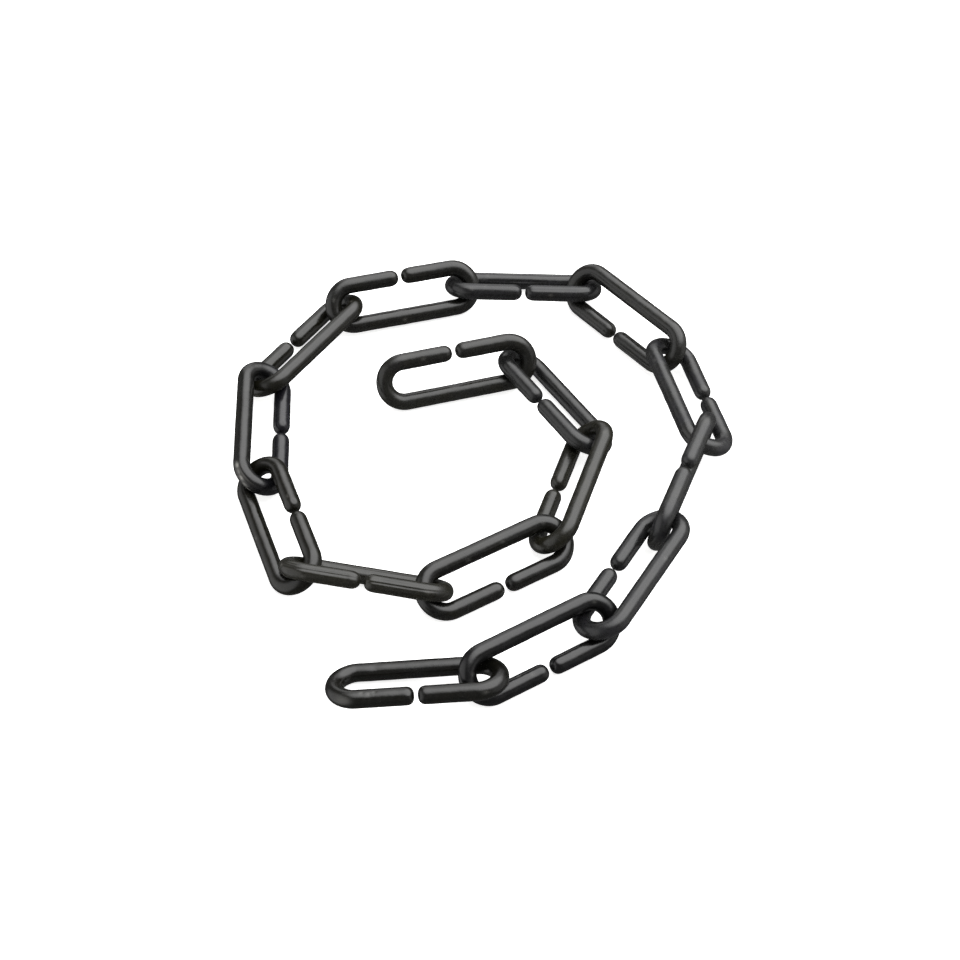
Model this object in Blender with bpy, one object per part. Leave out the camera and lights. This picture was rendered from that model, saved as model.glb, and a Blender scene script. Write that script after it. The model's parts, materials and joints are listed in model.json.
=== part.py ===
"""Loose length of open-link iron chain, laid flat on the ground in a spiral.

Each link is one round rod bent into a long loop, with its two ends meeting at a small open joint in the
middle of one long side. The links lie on their edges, leaning left and right in turn, each hooked
through the one before. Metres, +Z up, origin on the ground under the middle of the chain.
"""

import math
from typing import NamedTuple

import bmesh
import bpy
import numpy as np
from mathutils import Euler, Matrix, Vector

MM = 0.001

# The link, at its real size
ROD_DIAMETER = 7.2 * MM
LINK_LENGTH = 70.6 * MM
LINK_WIDTH = 24.8 * MM
JOINT_GAP = 1.4 * MM
END_LENGTH = 4.2 * MM
END_FLAT_RADIUS = 0.8 * MM

# How finely the rod, its bends and its rounded ends are faceted
ROD_SIDES = 16
BEND_STEPS = 12
END_STEPS = 4

# What follows from those sizes
ROD_RADIUS = ROD_DIAMETER / 2
BEND_RADIUS = (LINK_WIDTH - ROD_DIAMETER) / 2
HALF_LEG = LINK_LENGTH / 2 - ROD_RADIUS - BEND_RADIUS
HALF_REACH = HALF_LEG + BEND_RADIUS
PLAIN_LEG = HALF_LEG - JOINT_GAP / 2 - END_LENGTH

# Where the chain starts, and how far inside its curve each link turns on the one before
FIRST_CENTRE = (-10 * MM, 51 * MM)
PIVOT_INSET = 3 * MM

BLACK_IRON = (0.018, 0.018, 0.020, 1.0)


class Lay(NamedTuple):
    """How one link lies. Angles in degrees, distances in millimetres."""

    heading: float  # from its near end to its far end, anticlockwise from +X
    lean: float  # its left long side is raised by this much
    rise: float  # its far end is raised by this much
    lift: float  # how far its neighbours hold it off the ground
    hook: float  # how far its near end reaches back inside the link before
    side: float  # how far that end lies to the left of the other's middle
    joint: str  # the long side that has the open joint


# From the free end inside the spiral to the free end outside it
CHAIN = (
    Lay(13, 56, 2, 0.0, 0.0, 0.0, "left"),
    Lay(-57, -31, 1, 0.0, 5.0, 6.5, "right"),
    Lay(-109, 41, -2, 0.0, 7.5, 3.5, "right"),
    Lay(-150, -28, 0, 0.0, 7.5, 4.0, "left"),
    Lay(170, 46, 2, 0.0, 7.5, 2.0, "left"),
    Lay(110, -32, -1, 0.0, 6.5, 5.0, "right"),
    Lay(92, 32, 1, 0.5, 9.5, 1.5, "right"),
    Lay(54, -31, 1, 0.0, 8.5, 3.0, "left"),
    Lay(16, 44, -2, 0.0, 9.0, 1.5, "left"),
    Lay(-1, -28, -1, 0.0, 8.0, 2.5, "right"),
    Lay(-50, 47, 2, 0.0, 7.5, 2.5, "right"),
    Lay(-76, -25, 3, 2.5, 8.5, 3.0, "left"),
    Lay(-112, 82, -2, 0.0, 11.5, 1.0, "left"),
    Lay(-122, 22, -2, 4.5, 10.5, 2.0, "right"),
    Lay(-150, -42, -1, 0.0, 11.0, 2.0, "left"),
    Lay(-179, 21, -5, 0.0, 11.0, 4.5, "left"),
)


def clear_scene():
    """Remove whatever the scene holds."""
    for old in list(bpy.data.objects):
        bpy.data.objects.remove(old, do_unlink=True)


def iron_material():
    """Black satin finish of the iron."""
    material = bpy.data.materials.new("black_iron")
    material.use_nodes = True
    shader = material.node_tree.nodes["Principled BSDF"]
    shader.inputs["Base Color"].default_value = BLACK_IRON
    shader.inputs["Metallic"].default_value = 0.6
    shader.inputs["Roughness"].default_value = 0.42
    return material


def extrude_ring(mesh, ring, distance, growth=1.0):
    """Carry a ring of edges along X by distance, widen it by growth, and return the new ring."""
    grown = bmesh.ops.extrude_edge_only(mesh, edges=ring)["geom"]
    moved = [part for part in grown if isinstance(part, bmesh.types.BMVert)]
    bmesh.ops.translate(mesh, verts=moved, vec=(distance, 0, 0))
    to_rod = Matrix.Translation((0, -BEND_RADIUS, 0))
    bmesh.ops.scale(mesh, verts=moved, vec=(1, growth, growth), space=to_rod)
    return [part for part in grown if isinstance(part, bmesh.types.BMEdge)]


def bend_ring(mesh, ring, centre_x):
    """Carry a ring of edges half a turn clockwise about the bend's centre, and return the new ring."""
    corners = {vert for edge in ring for vert in edge.verts}
    swept = bmesh.ops.spin(
        mesh,
        geom=[*corners, *ring],
        cent=(centre_x, 0, 0),
        axis=(0, 0, 1),
        angle=-math.pi,
        steps=BEND_STEPS,
        use_duplicate=False,
    )["geom_last"]
    return [part for part in swept if isinstance(part, bmesh.types.BMEdge)]


def end_steps():
    """Length and growth of each step that rounds a cut end, from its small flat tip to the full rod."""
    turns = np.linspace(0, math.pi / 2, END_STEPS + 1)
    along = END_LENGTH * (1 - np.cos(turns))
    radius = END_FLAT_RADIUS + (ROD_RADIUS - END_FLAT_RADIUS) * np.sin(turns)
    return list(zip(np.diff(along), radius[1:] / radius[:-1]))


def link_mesh(material):
    """One link about its own centre: long side along X, open joint in the middle of the +Y side."""
    mesh = bmesh.new()
    across = Euler((0, math.pi / 2, 0)).to_matrix().to_4x4()
    across.translation = (JOINT_GAP / 2, BEND_RADIUS, 0)
    start = bmesh.ops.create_circle(mesh, segments=ROD_SIDES, radius=END_FLAT_RADIUS, matrix=across)
    first = list({edge for vert in start["verts"] for edge in vert.link_edges})
    ring = first
    for length, growth in end_steps():
        ring = extrude_ring(mesh, ring, length, growth)
    ring = extrude_ring(mesh, ring, PLAIN_LEG)
    ring = bend_ring(mesh, ring, HALF_LEG)
    ring = extrude_ring(mesh, ring, -2 * HALF_LEG)
    ring = bend_ring(mesh, ring, -HALF_LEG)
    ring = extrude_ring(mesh, ring, PLAIN_LEG)
    for length, growth in reversed(end_steps()):
        ring = extrude_ring(mesh, ring, length, 1 / growth)
    bmesh.ops.contextual_create(mesh, geom=first)
    bmesh.ops.contextual_create(mesh, geom=ring)
    bmesh.ops.recalc_face_normals(mesh, faces=mesh.faces)
    data = bpy.data.meshes.new("link")
    mesh.to_mesh(data)
    mesh.free()
    data.materials.append(material)
    data.shade_smooth()
    data.set_sharp_from_angle(angle=math.radians(50))
    return data


def turning(lay):
    """Rotation that lays a level link, heading along +X, the way lay says."""
    return Euler((math.radians(lay.lean), -math.radians(lay.rise), math.radians(lay.heading)))


def resting_height(lay):
    """Height of a link's centre when its lowest point is at its lift above the ground."""
    turned = turning(lay).to_matrix()
    along, across = turned.col[0], turned.col[1]
    drop = HALF_LEG * abs(along.z) + BEND_RADIUS * math.hypot(along.z, across.z)
    return ROD_RADIUS + drop + lay.lift * MM


def end_offset(lay, end):
    """From a link's centre to the rod's middle at its far end (+1) or its near end (-1)."""
    return turning(lay).to_matrix() @ Vector((end * HALF_REACH, 0, 0))


def level_directions(lay):
    """Level unit vectors along a link's heading and to the left of it."""
    heading = math.radians(lay.heading)
    forward = Vector((math.cos(heading), math.sin(heading), 0))
    return forward, Vector((-forward.y, forward.x, 0))


def next_centre(centre, lay, following):
    """Centre of the link that hooks through the far end of the one at centre."""
    forward, left = level_directions(lay)
    near = centre + end_offset(lay, 1)
    near += (following.side * left - following.hook * forward) * MM
    placed = near - end_offset(following, -1)
    placed.z = resting_height(following)
    return placed


def walk_chain():
    """Centres of all the links, from the first one on."""
    centres = [Vector((*FIRST_CENTRE, resting_height(CHAIN[0])))]
    for lay, following in zip(CHAIN, CHAIN[1:]):
        centres.append(next_centre(centres[-1], lay, following))
    return centres


def add_empty(name, place, parent):
    """An empty at a world place under its parent."""
    empty = bpy.data.objects.new(name, None)
    empty.empty_display_size = ROD_DIAMETER
    bpy.context.collection.objects.link(empty)
    empty.parent = parent
    empty.location = place - parent.matrix_world.translation if parent else place
    bpy.context.view_layer.update()
    return empty


def add_link(number, lay, centre, pivot, data):
    """One link, under the empty that it swings about."""
    link = bpy.data.objects.new(f"link_{number:02d}", data)
    bpy.context.collection.objects.link(link)
    link.parent = pivot
    link.location = centre - pivot.matrix_world.translation
    link.rotation_euler = turning(lay)
    if lay.joint == "right":
        link.rotation_euler.x += math.pi
    return link


def pivot_places(centres):
    """Where each link turns on the one before, and the first link's own near end to start with.

    A turning place is midway between the two hooked ends and a little to the right of that, which is the
    inside of the spiral's curve.
    """
    places = [centres[0] + end_offset(CHAIN[0], -1)]
    for k in range(1, len(CHAIN)):
        far = centres[k - 1] + end_offset(CHAIN[k - 1], 1)
        near = centres[k] + end_offset(CHAIN[k], -1)
        left = level_directions(CHAIN[k - 1])[1]
        places.append((far + near) / 2 - PIVOT_INSET * left)
    return places


def stand_on_origin(root, links):
    """Move the chain so that its box is centred over the origin with its lowest point on the ground."""
    bpy.context.view_layer.update()
    corners = []
    for link in links:
        local = np.array([vert.co for vert in link.data.vertices])
        turned = np.array(link.matrix_world.to_3x3())
        corners.append(local @ turned.T + np.array(link.matrix_world.translation))
    corners = np.concatenate(corners)
    low, high = corners.min(axis=0), corners.max(axis=0)
    root.location -= Vector(((low[0] + high[0]) / 2, (low[1] + high[1]) / 2, low[2]))


def build_chain():
    """The whole chain, each link's pivot under the pivot of the link before."""
    data = link_mesh(iron_material())
    centres = walk_chain()
    links = []
    parent = add_empty("chain", Vector((0, 0, 0)), None)
    root = parent
    for number, place in enumerate(pivot_places(centres), start=1):
        parent = add_empty(f"pivot_{number:02d}", place, parent)
        links.append(add_link(number, CHAIN[number - 1], centres[number - 1], parent, data))
    stand_on_origin(root, links)


clear_scene()
build_chain()
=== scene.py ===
"""A loose length of black iron chain lying on a pale studio floor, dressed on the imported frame.

Every CAD link is replaced by a fine round-rod link, swept with numpy in the same place, that rides on the
same body.
"""
import json
import logging
import math
from dataclasses import dataclass
from enum import Enum

import bpy
import numpy as np
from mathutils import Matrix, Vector

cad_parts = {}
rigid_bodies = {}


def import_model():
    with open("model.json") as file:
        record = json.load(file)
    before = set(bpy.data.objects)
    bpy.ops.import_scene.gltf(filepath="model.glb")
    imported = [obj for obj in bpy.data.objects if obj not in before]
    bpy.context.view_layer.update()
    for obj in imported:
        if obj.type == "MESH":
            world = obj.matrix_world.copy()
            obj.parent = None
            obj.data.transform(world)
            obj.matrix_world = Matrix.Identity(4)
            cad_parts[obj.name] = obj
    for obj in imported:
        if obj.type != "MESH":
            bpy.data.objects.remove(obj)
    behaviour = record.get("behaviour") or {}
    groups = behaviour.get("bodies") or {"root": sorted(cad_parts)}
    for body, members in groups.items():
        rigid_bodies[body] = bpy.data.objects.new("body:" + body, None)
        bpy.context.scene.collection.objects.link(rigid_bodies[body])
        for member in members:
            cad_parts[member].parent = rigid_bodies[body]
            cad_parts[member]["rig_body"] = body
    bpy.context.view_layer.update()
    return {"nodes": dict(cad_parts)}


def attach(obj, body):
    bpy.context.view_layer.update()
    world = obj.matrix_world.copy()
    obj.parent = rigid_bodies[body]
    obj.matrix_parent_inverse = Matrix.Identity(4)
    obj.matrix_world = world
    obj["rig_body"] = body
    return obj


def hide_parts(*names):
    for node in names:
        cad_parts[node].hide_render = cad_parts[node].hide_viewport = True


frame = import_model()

log = logging.getLogger("chain")

MM = 0.001

# A colour Mix node's sockets go by number, because those for other kinds of value share their names
MIX_SHARE, MIX_FIRST, MIX_SECOND, MIX_RESULT = 0, 6, 7, 2


def linear(hex_colour: str) -> tuple[float, float, float, float]:
    """Turn an sRGB hex colour into the linear colour that shaders use.

    By the sRGB standard, a share up to 0.04045 is divided by 12.92. A larger one has 0.055 added, is divided
    by 1.055 and is raised to the power 2.4.

    Args:
        hex_colour: six hex digits, with or without a leading hash.

    Returns:
        Linear red, green, blue and an alpha of 1.
    """
    digits = hex_colour.lstrip("#")
    shares = [int(digits[i:i + 2], 16) / 255 for i in (0, 2, 4)]
    red, green, blue = (c / 12.92 if c <= 0.04045 else ((c + 0.055) / 1.055) ** 2.4 for c in shares)
    return red, green, blue, 1.0


def add_node(tree: bpy.types.NodeTree, kind: str, inputs: dict | None = None,
             **settings: object) -> bpy.types.Node:
    """Add one node with its settings and links.

    Args:
        tree: the node tree that gets it.
        kind: the node's Blender type, such as ShaderNodeTexNoise.
        inputs: for each input name or number, a value or the output socket that feeds it.
        **settings: properties of the node itself.

    Returns:
        The new node.
    """
    made = tree.nodes.new(kind)
    for name, value in settings.items():
        setattr(made, name, value)
    for name, value in (inputs or {}).items():
        if isinstance(value, bpy.types.NodeSocket):
            tree.links.new(value, made.inputs[name])
        else:
            made.inputs[name].default_value = value
    return made


class Mark(Enum):
    """Kinds of mark in the rod: their length along it, width round it and depth, in millimetres."""

    NICK = (0.9, 0.7, 0.10)
    DENT = (2.2, 1.6, 0.07)
    SCORE = (4.0, 0.4, 0.12)
    GROOVE = (16.0, 0.5, 0.16)


@dataclass(frozen=True)
class RodMark:
    """One mark in a link's rod.

    Attributes:
        kind: what sort of mark it is.
        along: its distance from the rod's first cut end, in millimetres.
        round: its place round the rod in degrees, from the link's outside towards its upper face.
        strength: how deep it is, against others of its kind.
        bare: how far it goes through the skin to bare metal, from 0 to 1.
    """

    kind: Mark
    along: float
    round: float
    strength: float = 1.0
    bare: float = 0.0


@dataclass(frozen=True)
class LinkPose:
    """Where a CAD link lies: its centre and its three unit directions, in metres.

    Attributes:
        centre: middle of the link.
        along: direction of its long sides.
        across: direction from the closed long side to the one with the open joint.
        upper: direction square to the loop.
    """

    centre: np.ndarray
    along: np.ndarray
    across: np.ndarray
    upper: np.ndarray

    # Corners that agree to this many decimals of a metre are one corner
    SAME_CORNER = 7
    # Corners within this many joint widths of the link's middle belong to the cut ends
    NEAR_JOINT = 2

    @classmethod
    def of_node(cls, node: bpy.types.Object) -> "LinkPose":
        """Read the pose from the corners of a CAD link.

        The principal directions of the corners, longest first, are the link's long, wide and thin directions.
        The only corners near the middle of its length are those of the two cut ends, so they tell the side
        that has the open joint. Which way the long direction points is the solver's choice. The marks are
        placed by it, and small differences in the corners don't turn it round.

        Args:
            node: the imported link.

        Returns:
            The link's pose.
        """
        corners = np.empty(len(node.data.vertices) * 3, np.float32)
        node.data.vertices.foreach_get("co", corners)
        corners = np.unique(corners.reshape(-1, 3).astype(float).round(cls.SAME_CORNER), axis=0)
        spread = corners - corners.mean(axis=0)
        directions = np.linalg.eigh(spread.T @ spread)[1][:, ::-1].T
        reach = corners @ directions.T
        middle = (reach.min(axis=0) + reach.max(axis=0)) / 2
        local = reach - middle
        at_joint = np.abs(local[:, 0]) < ChainLink.joint_gap * MM * cls.NEAR_JOINT
        along, across = directions[0], directions[1] * np.sign(local[at_joint, 1].mean())
        return cls(middle @ directions, along, across, np.cross(along, across))

    def place(self, local: np.ndarray) -> np.ndarray:
        """Carry points in millimetres in the link's own directions to their place in metres."""
        return self.centre + MM * local @ np.stack([self.along, self.across, self.upper])


@dataclass
class ChainLink:
    """One link: a round rod bent into a long loop, with an open joint in the middle of one long side.

    Lengths are in millimetres. The rod starts and ends at the joint.

    Attributes:
        name: the CAD node that the link replaces.
        cast: tint of its skin, from -1 for olive to +1 for blue.
        joint_cast: what the long side with the joint adds to that tint.
        shade: how pale and dull its skin is, from -1 for blackest and glossiest to +1 for palest and dullest.
        drawn: how plainly the lines along the rod show, from 0 to 1.
        marks: marks that are listed one by one, on top of the scattered ones.
        end_length: length of the rounding at each cut end.
        end_fullness: how blunt that rounding is, where 2 is half an ellipsoid and more is blunter.
        rod_radius: radius of the rod.
        bend_radius: radius of the rod's middle line in the bends.
        half_leg: half the length of a straight side.
        joint_gap: width of the open joint.
    """

    name: str
    cast: float = 0.0
    joint_cast: float = 0.0
    shade: float = 0.0
    drawn: float = 0.3
    marks: tuple[RodMark, ...] = ()
    end_length: float = 4.2
    end_fullness: float = 2.3
    rod_radius: float = 3.59
    bend_radius: float = 8.8
    half_leg: float = 22.9
    joint_gap: float = 1.4

    # The mesh: points in a ring, distance between rings, and rings in the rounding of a cut end
    SIDES = 64
    ROW_STEP = 0.42
    ROUNDING_ROWS = 13

    # The slow waves, each by its length and height, and the most lobes that one has round the rod
    WAVES = ((34.0, 0.026), (17.0, 0.020), (9.5, 0.018), (5.2, 0.010))
    MOST_LOBES = 3
    WAVE_SEED = 40

    # The oval section of a bend: how far it departs from round, and the rings over which it sets in
    OVAL = 0.02
    OVAL_ROWS = 9

    # The scattered marks: how many, how far from the cut ends, how deep, and how bare the nicks are
    SCATTERED = 9
    SCATTER_MARGIN = 3
    SCATTER_STRENGTH = (0.25, 0.8)
    SCATTERED_BARE = 0.12
    SCATTER_SEED = 700

    @property
    def number(self) -> int:
        """The link's place in the chain, from its name."""
        return int(self.name.rsplit("_", 1)[1])

    @property
    def rod_length(self) -> float:
        """Length of the rod's middle line, from one cut end to the other."""
        return 4 * self.half_leg + 2 * math.pi * self.bend_radius - self.joint_gap

    def rows(self) -> tuple[np.ndarray, np.ndarray]:
        """Lay out the rings of the mesh along the rod.

        A cut end is half a superellipsoid of the exponent n, its fullness: over a quarter turn its distance
        is the rounding's length times one less the cosine to the power 2 / n, and its radius is the rod's
        times the sine to that power. The rings between the ends are evenly spaced, and the second end mirrors
        the first.

        Returns:
            Each ring's distance from the first cut end, and its share of the rod's full radius.
        """
        turn = np.linspace(0, math.pi / 2, self.ROUNDING_ROWS)
        power = 2 / self.end_fullness
        start = self.end_length * (1 - np.clip(np.cos(turn), 0, 1) ** power)
        share = np.sin(turn) ** power
        count = round((self.rod_length - 2 * start[-1]) / self.ROW_STEP)
        between = np.linspace(start[-1], self.rod_length - start[-1], count + 1)[1:-1]
        distance = np.concatenate([start, between, self.rod_length - start[::-1]])
        return distance, np.concatenate([share, np.ones(between.size), share[::-1]])

    def centreline(self, distance: np.ndarray) -> tuple[np.ndarray, np.ndarray, np.ndarray]:
        """Follow the rod's middle line round the loop.

        From the joint it runs out along the first leg, half a turn round the bend, back along the closed
        side, half a turn round the other bend and in along the last leg. On a bend the turned angle is the
        distance into the bend over its radius.

        Args:
            distance: distances from the first cut end.

        Returns:
            Points of the line, unit directions away from the inside of the loop, and 1 on a bend or 0 on a
            leg.
        """
        leg, bend = self.half_leg, math.pi * self.bend_radius
        travelled = distance + self.joint_gap / 2
        first = np.clip((travelled - leg) / self.bend_radius, 0, math.pi)
        second = np.clip((travelled - 3 * leg - bend) / self.bend_radius, 0, math.pi)
        turned = first + second
        x = np.minimum(travelled, leg)
        x = x - np.clip(travelled - leg - bend, 0, 2 * leg)
        x = x + np.clip(travelled - 3 * leg - 2 * bend, 0, leg)
        outward = np.stack([np.sin(turned), np.cos(turned), np.zeros_like(turned)], axis=1)
        points = self.bend_radius * outward
        points[:, 0] += x
        on_bend = ((first > 0) & (first < math.pi)) | ((second > 0) & (second < math.pi))
        return points, outward, on_bend.astype(float)

    def all_marks(self) -> np.ndarray:
        """Gather the link's marks: those listed one by one and a seeded scatter of nicks and dents in turn.

        Returns:
            One row a mark: distance along the rod, angle round it, length, width, depth and share of bare
            metal.
        """
        draw = np.random.default_rng(self.SCATTER_SEED + self.number)
        margin, count = self.SCATTER_MARGIN, self.SCATTERED
        along = draw.uniform(margin, self.rod_length - margin, count)
        around = draw.uniform(0, 360, count)
        strength = draw.uniform(*self.SCATTER_STRENGTH, count)
        kinds = [(Mark.NICK, Mark.DENT)[k % 2] for k in range(count)]
        bare = [(self.SCATTERED_BARE, 0.0)[k % 2] for k in range(count)]
        scattered = [RodMark(*row) for row in zip(kinds, along, around, strength, bare)]
        rows = []
        for mark in (*self.marks, *scattered):
            length, width, depth = mark.kind.value
            angle = math.radians(mark.round)
            rows.append((mark.along, angle, length, width, depth * mark.strength, mark.bare))
        return np.array(rows)

    def relief(self, distance: np.ndarray, around: np.ndarray,
               on_bend: np.ndarray) -> tuple[np.ndarray, np.ndarray]:
        """Work out how far the rod's skin stands out from a true round rod, or in where it is negative.

        It is a sum of three kinds of thing. Slow waves left by drawing and hammering are sines of the
        distance times cosines of the angle. On a bend the section is slightly oval, thinner across the loop
        and thicker square to it, by the cosine of twice the angle. Each mark is a smooth hollow, a two-way
        Gaussian of the distance along the rod and the arc round it.

        Args:
            distance: each ring's distance along the rod, as a column.
            around: each side's angle round the rod, as a row.
            on_bend: 1 on a bend and 0 on a leg, as a column.

        Returns:
            The change in radius, and how bare the metal is in the marks, from 0 to 1.
        """
        draw = np.random.default_rng(self.WAVE_SEED + self.number)
        waves = np.zeros(np.broadcast_shapes(distance.shape, around.shape))
        for length, height in self.WAVES:
            lobes, phase = draw.integers(0, self.MOST_LOBES + 1), draw.uniform(0, 2 * math.pi, 2)
            run = height * np.sin(2 * math.pi * distance / length + phase[0])
            waves += run * np.cos(lobes * around + phase[1])
        oval = -self.OVAL * on_bend * np.cos(2 * around)
        along, angle, length, width, depth, bare = self.all_marks().T[:, None, None, :]
        gap = np.angle(np.exp(1j * (around[..., None] - angle))) * self.rod_radius
        hollow = np.exp(-((distance[..., None] - along) / length) ** 2 - (gap / width) ** 2)
        return waves + oval - (depth * hollow).sum(axis=-1), (bare * hollow).max(axis=-1)

    def build(self, pose: LinkPose) -> bpy.types.Object:
        """Sweep the link's surface and store on it what its material reads.

        A point is the middle line's point at its ring's distance, plus the ring's radius times the cosine of
        its angle along the outward direction and the sine along the loop's upper direction. The first and
        last rings shrink to one point each, so the surface is closed.

        Args:
            pose: where the link lies.

        Returns:
            The finished mesh object.
        """
        distance, share = self.rows()
        points, outward, on_bend = self.centreline(distance)
        angle = np.arange(self.SIDES) * 2 * math.pi / self.SIDES
        easing = smooth_steps(on_bend, self.OVAL_ROWS)
        change, worn = self.relief(distance[:, None], angle[None, :], easing[:, None])
        radius = (self.rod_radius + change) * share[:, None]
        upper = np.array([0.0, 0.0, 1.0])
        grid = points[:, None, :] + radius[..., None] * (
            np.cos(angle)[None, :, None] * outward[:, None, :] + np.sin(angle)[None, :, None] * upper
        )
        corners = np.concatenate([grid[1:-1].reshape(-1, 3), points[:1], points[-1:]])
        mesh = bpy.data.meshes.new(f"{self.name}_rod")
        mesh.from_pydata(pose.place(corners), [], tube_faces(distance.size - 2, self.SIDES))
        mesh.shade_smooth()
        store(mesh, "rod", "FLOAT_VECTOR", MM * self.straightened(distance, angle))
        store(mesh, "worn", "FLOAT", np.concatenate([worn[1:-1].ravel(), [0.0, 0.0]]))
        on_joint_side = np.clip(0.5 + corners[:, 1] / (2 * self.bend_radius), 0, 1)
        store(mesh, "cast", "FLOAT", self.cast + self.joint_cast * on_joint_side)
        store(mesh, "shade", "FLOAT", np.full(len(corners), self.shade))
        store(mesh, "drawn", "FLOAT", np.full(len(corners), self.drawn))
        made = bpy.data.objects.new(f"{self.name}_rod", mesh)
        bpy.context.scene.collection.objects.link(made)
        return made

    def straightened(self, distance: np.ndarray, angle: np.ndarray) -> np.ndarray:
        """Lay the rod out straight, for patterns that run along it.

        A point's place is its distance along the rod, and the rod's radius times the cosine and the sine of
        its angle. The two tips lie on the middle line.

        Args:
            distance: each ring's distance from the first cut end.
            angle: each side's angle round the rod.

        Returns:
            The mesh's points on the straight rod, in the mesh's order.
        """
        aside, above = self.rod_radius * np.cos(angle), self.rod_radius * np.sin(angle)
        rings = np.stack(np.broadcast_arrays(distance[1:-1, None], aside[None, :], above[None, :]), axis=-1)
        tips = np.array([[0.0, 0.0, 0.0], [self.rod_length, 0.0, 0.0]])
        return np.concatenate([rings.reshape(-1, 3), tips])


def smooth_steps(steps: np.ndarray, rows: int) -> np.ndarray:
    """Soften a row of zeros and ones with a running mean over an odd number of rows."""
    return np.convolve(np.pad(steps, rows // 2, mode="edge"), np.ones(rows) / rows, mode="valid")


def tube_faces(rings: int, sides: int) -> list[tuple[int, ...]]:
    """Join rings of points into a closed tube.

    Side j of ring i meets side j + 1 and ring i + 1 in a quad, and the last side meets the first. A fan of
    triangles joins each end ring to its tip. The two tips follow the rings in the list of points.

    Args:
        rings: number of rings.
        sides: number of points in a ring.

    Returns:
        The faces as tuples of point numbers, outward side out.
    """
    near = np.arange(rings * sides).reshape(rings, sides)
    beside = np.roll(near, -1, axis=1)
    quads = np.stack([near[:-1], beside[:-1], beside[1:], near[1:]], axis=-1).reshape(-1, 4)
    first, last = np.full(sides, rings * sides), np.full(sides, rings * sides + 1)
    start_fan = np.stack([first, beside[0], near[0]], axis=-1)
    end_fan = np.stack([last, near[-1], beside[-1]], axis=-1)
    return [tuple(face) for part in (quads, start_fan, end_fan) for face in part.tolist()]


def store(mesh: bpy.types.Mesh, name: str, kind: str, values: np.ndarray) -> None:
    """Keep a value for each point of a mesh, for its material to read.

    Args:
        mesh: the mesh that gets the attribute.
        name: the attribute's name.
        kind: FLOAT or FLOAT_VECTOR.
        values: one row for each point.
    """
    field = "vector" if kind == "FLOAT_VECTOR" else "value"
    attribute = mesh.attributes.new(name, kind, "POINT")
    attribute.data.foreach_set(field, values.astype(np.float32).ravel())


@dataclass(frozen=True)
class Pattern:
    """An uneven pattern in a skin, of coarse patches with finer ones in them.

    Attributes:
        size: size of the coarse patches, in millimetres.
        detail: how many times finer patches are added, each time half as large.
        roughness: how strong each finer set is, against the one before.
        depth: how deep the pattern goes into the skin, in millimetres.
    """

    size: float
    detail: float
    roughness: float
    depth: float

    def inputs(self, place: bpy.types.NodeSocket) -> dict[str, object]:
        """Inputs of the noise texture that draws the pattern at a place."""
        scale = 1 / (self.size * MM)
        return {"Vector": place, "Scale": scale, "Detail": self.detail, "Roughness": self.roughness}


@dataclass(frozen=True)
class Response:
    """How a value follows another, evenly between two values of that other and level outside them.

    Attributes:
        start: the other value where the change starts.
        end: the other value where it ends.
        first: the value up to the start.
        last: the value from the end on.
    """

    start: float
    end: float
    first: float = 0.0
    last: float = 1.0

    def inputs(self, source: bpy.types.NodeSocket, base: float = 0.0) -> dict[str, object]:
        """Inputs of the range node that gives the response to a source, on top of a base."""
        return {"Value": source, "From Min": self.start, "From Max": self.end,
                "To Min": base + self.first, "To Max": base + self.last}


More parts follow.
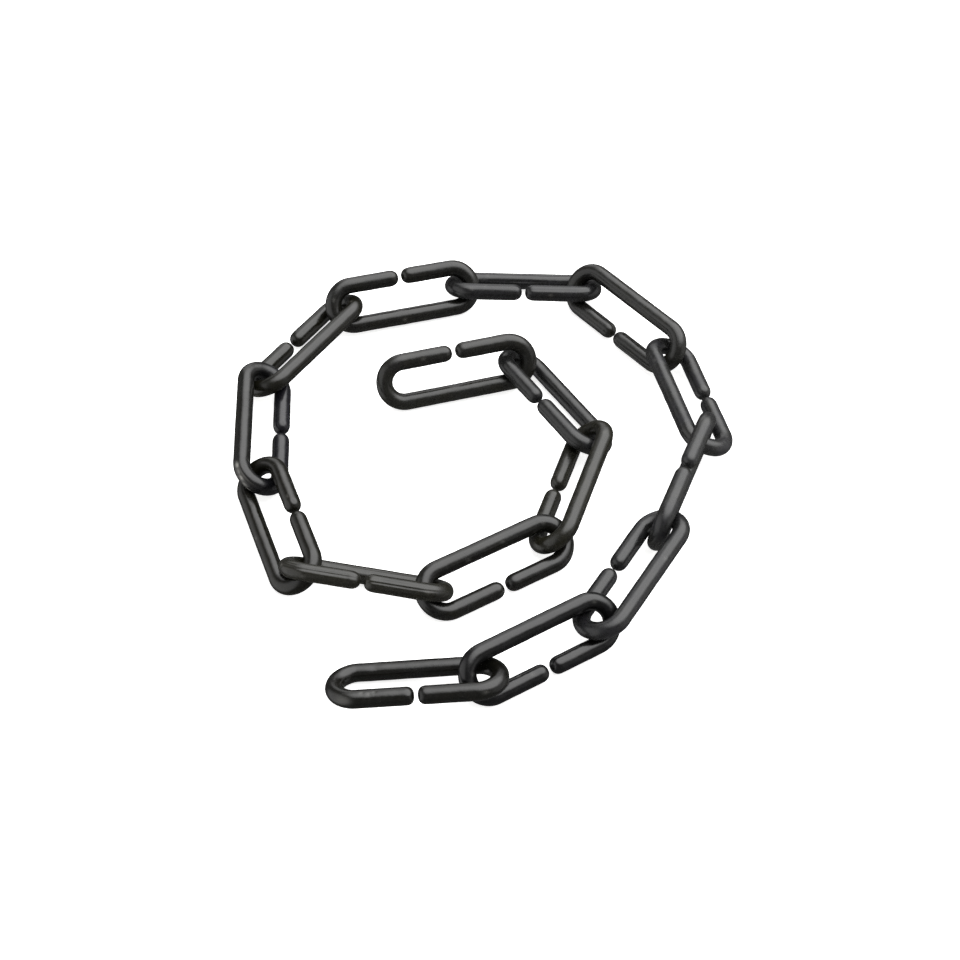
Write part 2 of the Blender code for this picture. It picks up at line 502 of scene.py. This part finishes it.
@dataclass(frozen=True)
class BlackenedIron:
    """Blackened iron: hot-bent rod under a thin black satin skin.

    The skin is not metallic to the eye. It is nearly black with a broad soft sheen, finely mottled, with
    faint lines along the rod where it was drawn.

    Attributes:
        skin: main colour.
        olive: colour where the skin leans to olive brown.
        blue: colour where the skin leans to blue.
        bare: colour where a scratch goes through to bare metal.
        metallic: how metallic the skin is.
        ior: refractive index of the skin.
        roughness: roughness of the sheen.
        grain: the fine mottling.
        cloud: the cloudy patches.
        worked: the shallow unevenness left by hot working.
        lines: the drawing lines, whose size is their spacing round the rod.
        line_stretch: how many times longer than wide a drawing line is.
        lean: how far the cloudy patches swing the tint between olive and blue.
        to_blue: share of blue by the tint.
        to_olive: share of olive by the tint.
        speckle: lightness by the grain.
        shade_step: how many times paler a shade of 1 makes the colour.
        cloud_sheen: change of roughness by the cloudy patches.
        grain_sheen: change of roughness by the grain.
        shade_sheen: change of roughness with a shade of 1.
        bare_sheen: change of roughness on bare metal.
    """

    skin: str = "#121212"
    olive: str = "#16150e"
    blue: str = "#121218"
    bare: str = "#8a8883"
    metallic: float = 0.0
    ior: float = 1.5
    roughness: float = 0.235
    grain: Pattern = Pattern(size=1.5, detail=3.0, roughness=0.6, depth=0.011)
    cloud: Pattern = Pattern(size=7.0, detail=4.0, roughness=0.55, depth=0.08)
    worked: Pattern = Pattern(size=2.6, detail=2.0, roughness=0.5, depth=0.05)
    lines: Pattern = Pattern(size=1.3, detail=2.0, roughness=0.5, depth=0.11)
    line_stretch: float = 50.0
    lean: float = 1.2
    to_blue: Response = Response(0.0, 1.0)
    to_olive: Response = Response(0.0, -1.0)
    speckle: Response = Response(0.36, 0.66, 0.8, 1.2)
    shade_step: float = 2.7
    cloud_sheen: Response = Response(0.3, 0.7, -0.05, 0.06)
    grain_sheen: Response = Response(0.35, 0.65, -0.025, 0.03)
    shade_sheen: float = 0.04
    bare_sheen: float = 0.12

    def material(self) -> bpy.types.Material:
        """Build the material.

        Returns:
            The finished material, named for what it is.
        """
        made = bpy.data.materials.new("blackened_iron")
        made.use_nodes = True
        tree = made.node_tree
        shader = tree.nodes["Principled BSDF"]
        shader.inputs["Metallic"].default_value = self.metallic
        shader.inputs["IOR"].default_value = self.ior
        place = add_node(tree, "ShaderNodeTexCoord").outputs["Object"]
        rod = add_node(tree, "ShaderNodeAttribute", attribute_name="rod").outputs["Vector"]
        worn, cast, shade, drawn = (
            add_node(tree, "ShaderNodeAttribute", attribute_name=name).outputs["Fac"]
            for name in ("worn", "cast", "shade", "drawn"))
        pressed = add_node(tree, "ShaderNodeMapping", {
            "Vector": rod, "Scale": (1 / self.line_stretch, 1.0, 1.0)}).outputs["Vector"]
        grain, cloud, worked, lines = (
            add_node(tree, "ShaderNodeTexNoise", pattern.inputs(source)).outputs["Fac"]
            for pattern, source in (
                (self.grain, place), (self.cloud, place), (self.worked, place), (self.lines, pressed)))
        plain_lines = add_node(tree, "ShaderNodeMath", {0: lines, 1: drawn}, operation="MULTIPLY").outputs[0]
        colour = self.colour(tree, grain, cloud, worn, cast, shade)
        sheen = self.sheen(tree, grain, cloud, worn, shade)
        normal = self.bump(tree, (
            (cloud, self.cloud.depth), (worked, self.worked.depth),
            (plain_lines, self.lines.depth), (grain, self.grain.depth)))
        tree.links.new(colour, shader.inputs["Base Color"])
        tree.links.new(sheen, shader.inputs["Roughness"])
        tree.links.new(normal, shader.inputs["Normal"])
        return made

    def colour(self, tree: bpy.types.NodeTree, grain: bpy.types.NodeSocket, cloud: bpy.types.NodeSocket,
               worn: bpy.types.NodeSocket, cast: bpy.types.NodeSocket,
               shade: bpy.types.NodeSocket) -> bpy.types.NodeSocket:
        """Mix the skin's colour.

        Args:
            tree: the material's node tree.
            grain: fine mottling.
            cloud: cloudy patches.
            worn: 1 where the metal is bare.
            cast: the link's tint.
            shade: the link's shade.

        Returns:
            The colour's socket.
        """
        swing = add_node(tree, "ShaderNodeMath", {
            0: cloud, 1: self.lean, 2: -self.lean / 2}, operation="MULTIPLY_ADD").outputs[0]
        tint = add_node(tree, "ShaderNodeMath", {0: cast, 1: swing}, operation="ADD").outputs[0]
        bluish = add_node(tree, "ShaderNodeMapRange", self.to_blue.inputs(tint)).outputs[0]
        brownish = add_node(tree, "ShaderNodeMapRange", self.to_olive.inputs(tint)).outputs[0]
        cool = add_node(tree, "ShaderNodeMix", {
            MIX_SHARE: bluish, MIX_FIRST: linear(self.skin), MIX_SECOND: linear(self.blue)},
            data_type="RGBA").outputs[MIX_RESULT]
        warm = add_node(tree, "ShaderNodeMix", {
            MIX_SHARE: brownish, MIX_FIRST: cool, MIX_SECOND: linear(self.olive)},
            data_type="RGBA").outputs[MIX_RESULT]
        speck = add_node(tree, "ShaderNodeMapRange", self.speckle.inputs(grain)).outputs[0]
        paler = add_node(tree, "ShaderNodeMath", {
            0: self.shade_step, 1: shade}, operation="POWER").outputs[0]
        light = add_node(tree, "ShaderNodeMath", {0: speck, 1: paler}, operation="MULTIPLY").outputs[0]
        mottled = add_node(tree, "ShaderNodeMix", {
            MIX_SHARE: 1.0, MIX_FIRST: warm, MIX_SECOND: light},
            data_type="RGBA", blend_type="MULTIPLY").outputs[MIX_RESULT]
        return add_node(tree, "ShaderNodeMix", {
            MIX_SHARE: worn, MIX_FIRST: mottled, MIX_SECOND: linear(self.bare)},
            data_type="RGBA").outputs[MIX_RESULT]

    def sheen(self, tree: bpy.types.NodeTree, grain: bpy.types.NodeSocket, cloud: bpy.types.NodeSocket,
              worn: bpy.types.NodeSocket, shade: bpy.types.NodeSocket) -> bpy.types.NodeSocket:
        """Vary the roughness with the patches, the grain and the link, and make it duller on bare metal.

        Args:
            tree: the material's node tree.
            grain: fine mottling.
            cloud: cloudy patches.
            worn: 1 where the metal is bare.
            shade: the link's shade.

        Returns:
            The roughness socket.
        """
        by_cloud, by_grain = self.cloud_sheen.inputs(cloud, self.roughness), self.grain_sheen.inputs(grain)
        patchy = add_node(tree, "ShaderNodeMapRange", by_cloud).outputs[0]
        speckled = add_node(tree, "ShaderNodeMapRange", by_grain).outputs[0]
        fine = add_node(tree, "ShaderNodeMath", {0: speckled, 1: patchy}, operation="ADD").outputs[0]
        whole = add_node(tree, "ShaderNodeMath", {
            0: shade, 1: self.shade_sheen, 2: fine}, operation="MULTIPLY_ADD").outputs[0]
        return add_node(tree, "ShaderNodeMath", {
            0: worn, 1: self.bare_sheen, 2: whole}, operation="MULTIPLY_ADD").outputs[0]

    def bump(self, tree: bpy.types.NodeTree,
             reliefs: tuple[tuple[bpy.types.NodeSocket, float], ...]) -> bpy.types.NodeSocket:
        """Raise the skin by each pattern in turn.

        Args:
            tree: the material's node tree.
            reliefs: for each pattern, its height's socket and the depth of the full height, in millimetres.

        Returns:
            The normal's socket.
        """
        below = {}
        for height, depth in reliefs:
            inputs = {"Height": height, "Distance": depth * MM, "Strength": 1.0}
            below = {"Normal": add_node(tree, "ShaderNodeBump", inputs | below).outputs["Normal"]}
        return below["Normal"]


@dataclass(frozen=True)
class OpalSheet:
    """Matt opal acrylic sheet lit from below: a plain white shooting table on which shadows are faint.

    Attributes:
        white: colour of the sheet.
        roughness: roughness of its matt face.
        reflection: strength of its mirror reflection, where 0.5 is that of a polished sheet.
        glow: light that comes up through it, where the camera sees pure white at 1.
    """

    white: str = "#f6f6f5"
    roughness: float = 0.85
    reflection: float = 0.1
    glow: float = 0.85

    def material(self) -> bpy.types.Material:
        """Build the material.

        Returns:
            The finished material, named for what it is.
        """
        made = bpy.data.materials.new("opal_acrylic_sheet")
        made.use_nodes = True
        shader = made.node_tree.nodes["Principled BSDF"]
        shader.inputs["Base Color"].default_value = linear(self.white)
        shader.inputs["Roughness"].default_value = self.roughness
        shader.inputs["Specular IOR Level"].default_value = self.reflection
        shader.inputs["Emission Color"].default_value = linear(self.white)
        shader.inputs["Emission Strength"].default_value = self.glow
        return made


@dataclass(frozen=True)
class LightPatch:
    """A round patch of soft light in the studio's surroundings, such as a softbox behind a diffuser.

    Attributes:
        bearing: its compass bearing in degrees, from straight behind the chain (+Y) towards the right (+X).
        height: its angle above the floor, in degrees.
        reach: the angle from its middle to where it has faded out, in degrees.
        glow: its brightness, where the camera sees pure white at 1.
    """

    bearing: float
    height: float
    reach: float
    glow: float

    # Share of the reach over which the patch is evenly bright
    CORE_SHARE = 0.45

    def direction(self) -> tuple[float, float, float]:
        """Unit direction from the chain to the middle of the patch."""
        bearing, height = math.radians(self.bearing), math.radians(self.height)
        return (math.cos(height) * math.sin(bearing), math.cos(height) * math.cos(bearing), math.sin(height))

    def add_to(self, tree: bpy.types.NodeTree, towards: bpy.types.NodeSocket,
               so_far: bpy.types.NodeSocket) -> bpy.types.NodeSocket:
        """Add the patch's light to what the other patches give.

        The brightness goes by the cosine of the angle from the patch's middle. It is full within the core and
        fades smoothly to nothing at the patch's reach.

        Args:
            tree: the world's node tree.
            towards: the direction that is looked in.
            so_far: brightness of the surroundings without this patch.

        Returns:
            Brightness with the patch added.
        """
        cosine = add_node(tree, "ShaderNodeVectorMath", {
            0: towards, 1: self.direction()}, operation="DOT_PRODUCT").outputs["Value"]
        edge, core = (math.cos(math.radians(self.reach * share)) for share in (1, self.CORE_SHARE))
        by_cosine = Response(edge, core, 0.0, self.glow).inputs(cosine)
        fade = add_node(tree, "ShaderNodeMapRange", by_cosine, interpolation_type="SMOOTHSTEP").outputs[0]
        return add_node(tree, "ShaderNodeMath", {0: so_far, 1: fade}, operation="ADD").outputs[0]


@dataclass(frozen=True)
class Studio:
    """The floor, the light and the camera.

    Attributes:
        elevation: the camera's angle above the floor, in degrees.
        distance: from the camera to the point it looks at, in metres.
        aim: the point it looks at, in metres.
        lens: focal length, in millimetres.
        sensor: width of the camera's sensor, in millimetres.
        nearest: the nearest distance that the camera sees, in metres.
        floor_side: side of the floor, in metres.
        room: brightness of the room above the floor, outside the light patches.
        under: brightness of what lies below the floor's level.
        horizon: heights between which one turns into the other, as sines of the angle above the floor.
        patches: the patches of soft light.
    """

    elevation: float = 50.09
    distance: float = 0.829
    aim: tuple[float, float, float] = (-0.001292, 0.000803, -0.000001)
    lens: float = 74.27
    sensor: float = 36.0
    nearest: float = 0.01
    floor_side: float = 60.0
    room: float = 0.16
    under: float = 0.10
    horizon: tuple[float, float] = (-0.25, 0.1)
    patches: tuple[LightPatch, ...] = (
        LightPatch(bearing=46, height=64, reach=53, glow=3.8),
        LightPatch(bearing=-11, height=19, reach=24, glow=1.1),
        LightPatch(bearing=-107, height=6, reach=57, glow=0.95),
        LightPatch(bearing=92, height=10, reach=48, glow=0.45),
    )

    def lay_floor(self) -> None:
        """Add the floor, a square at the level that the chain lies on."""
        reach = self.floor_side / 2
        corners = [(-reach, -reach, 0.0), (reach, -reach, 0.0), (reach, reach, 0.0), (-reach, reach, 0.0)]
        mesh = bpy.data.meshes.new("floor")
        mesh.from_pydata(corners, [], [(0, 1, 2, 3)])
        mesh.materials.append(OpalSheet().material())
        floor = bpy.data.objects.new("floor", mesh)
        floor.visible_glossy = False
        bpy.context.scene.collection.objects.link(floor)

    def light(self) -> None:
        """Surround the chain with dim even light and the brighter patches."""
        world = bpy.data.worlds.new("studio")
        world.use_nodes = True
        tree = world.node_tree
        towards = add_node(tree, "ShaderNodeTexCoord").outputs["Generated"]
        height = add_node(tree, "ShaderNodeSeparateXYZ", {0: towards}).outputs["Z"]
        by_height = Response(*self.horizon, self.under, self.room).inputs(height)
        glow = add_node(tree, "ShaderNodeMapRange", by_height, interpolation_type="SMOOTHSTEP").outputs[0]
        for patch in self.patches:
            glow = patch.add_to(tree, towards, glow)
        background = tree.nodes["Background"]
        background.inputs["Color"].default_value = linear("#ffffff")
        tree.links.new(glow, background.inputs["Strength"])
        bpy.context.scene.world = world
        bpy.context.scene.view_settings.view_transform = "Standard"

    def set_camera(self) -> None:
        """Add the camera at the picture's angle."""
        data = bpy.data.cameras.new("camera")
        data.lens = self.lens
        data.sensor_width = self.sensor
        data.clip_start = self.nearest
        camera = bpy.data.objects.new("camera", data)
        tilt = math.radians(self.elevation)
        camera.location = Vector(self.aim) + self.distance * Vector((0, -math.cos(tilt), math.sin(tilt)))
        camera.rotation_euler = (math.pi / 2 - tilt, 0.0, 0.0)
        bpy.context.scene.collection.objects.link(camera)
        bpy.context.scene.camera = camera

    def build(self) -> None:
        """Add everything round the chain."""
        self.set_camera()
        self.lay_floor()
        self.light()


@dataclass
class Chain:
    """The whole chain.

    Attributes:
        links: the links, from the free one inside the spiral to the free one outside it.
        slot: the record's material slot for the links' finish; not used.
    """

    links: tuple[ChainLink, ...] = (
        ChainLink("link_01", cast=-0.4, shade=0.3),
        ChainLink("link_02", shade=0.45),
        ChainLink("link_03", cast=-0.7, shade=0.4),
        ChainLink("link_04", cast=-0.4, shade=-0.1),
        ChainLink("link_05", cast=-0.7, shade=0.35, drawn=1.0, marks=(
            RodMark(Mark.GROOVE, 72, 98, 1.8), RodMark(Mark.GROOVE, 74, 120, 1.8),
            RodMark(Mark.GROOVE, 70, 143, 1.8), RodMark(Mark.GROOVE, 14, 25, 1.8),
            RodMark(Mark.GROOVE, 14, 47, 1.8), RodMark(Mark.GROOVE, 132, 15, 1.8),
            RodMark(Mark.GROOVE, 132, 38, 1.8), RodMark(Mark.NICK, 31, 20, 1.0, 0.2),
        )),
        ChainLink("link_06", cast=-1.0, shade=-0.5, drawn=0.6, marks=(
            RodMark(Mark.SCORE, 129, 30, 1.0, 0.15), RodMark(Mark.SCORE, 134, 52, 1.0, 0.1),
        )),
        ChainLink("link_07", cast=-0.35, joint_cast=1.3, shade=-0.15, marks=(
            RodMark(Mark.NICK, 47.3, 24, 1.2, 0.9), RodMark(Mark.NICK, 45.2, 17, 1.2, 0.5),
            RodMark(Mark.NICK, 43.2, 8, 1.2, 0.8), RodMark(Mark.NICK, 41.2, 350, 1.2, 0.5),
            RodMark(Mark.NICK, 39.4, 326, 1.2, 0.6), RodMark(Mark.SCORE, 43.5, 32, 1.0, 0.2),
        )),
        ChainLink("link_08", cast=-0.8, shade=-0.2),
        ChainLink("link_09", cast=-0.35, shade=0.1),
        ChainLink("link_10", cast=0.1, shade=0.45, drawn=0.9, marks=(
            RodMark(Mark.NICK, 56.8, 122, 1.2, 0.1), RodMark(Mark.NICK, 16.4, 64, 1.2, 0.1),
            RodMark(Mark.GROOVE, 13, 76), RodMark(Mark.GROOVE, 134, 40),
            RodMark(Mark.GROOVE, 61, 104, 1.6), RodMark(Mark.GROOVE, 84, 104, 1.6),
            RodMark(Mark.GROOVE, 73, 166, 1.6),
        )),
        ChainLink("link_11", cast=-0.3, shade=0.4, drawn=1.0, marks=(
            RodMark(Mark.GROOVE, 68, 140, 1.8), RodMark(Mark.GROOVE, 82, 118, 1.8),
            RodMark(Mark.GROOVE, 63, 104, 1.6), RodMark(Mark.GROOVE, 12, 30, 1.8),
            RodMark(Mark.GROOVE, 133, 48, 1.6),
        )),
        ChainLink("link_12", cast=0.05, shade=0.9),
        ChainLink("link_13", shade=0.8),
        ChainLink("link_14", cast=0.1, shade=0.45),
        ChainLink("link_15", cast=0.1, shade=-0.6, end_length=3.8),
        ChainLink("link_16", cast=-0.55, shade=-0.6, end_length=3.3, end_fullness=2.5, marks=(
            RodMark(Mark.DENT, 56.3, 116, 2.2), RodMark(Mark.DENT, 26, 24, 1.8, 0.15),
            RodMark(Mark.NICK, 19.3, 71, 1.3, 0.12), RodMark(Mark.NICK, 16.8, 62, 1.3, 0.15),
            RodMark(Mark.NICK, 14.7, 72, 1.2, 0.1),
        )),
    )
    slot: str = "black_iron"

    def build(self) -> None:
        """Build each link in its CAD link's place, dress it and let it ride."""
        finish = BlackenedIron().material()
        for link in self.links:
            node = frame["nodes"][link.name]
            made = link.build(LinkPose.of_node(node))
            made.data.materials.append(finish)
            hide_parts(link.name)
            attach(made, node["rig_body"])
            log.info("%s: %d faces", made.name, len(made.data.polygons))


def main() -> None:
    """Build the studio and the chain, and report each piece."""
    logging.basicConfig(level=logging.INFO, format="%(message)s")
    Studio().build()
    Chain().build()


if __name__ == "__main__":
    main()
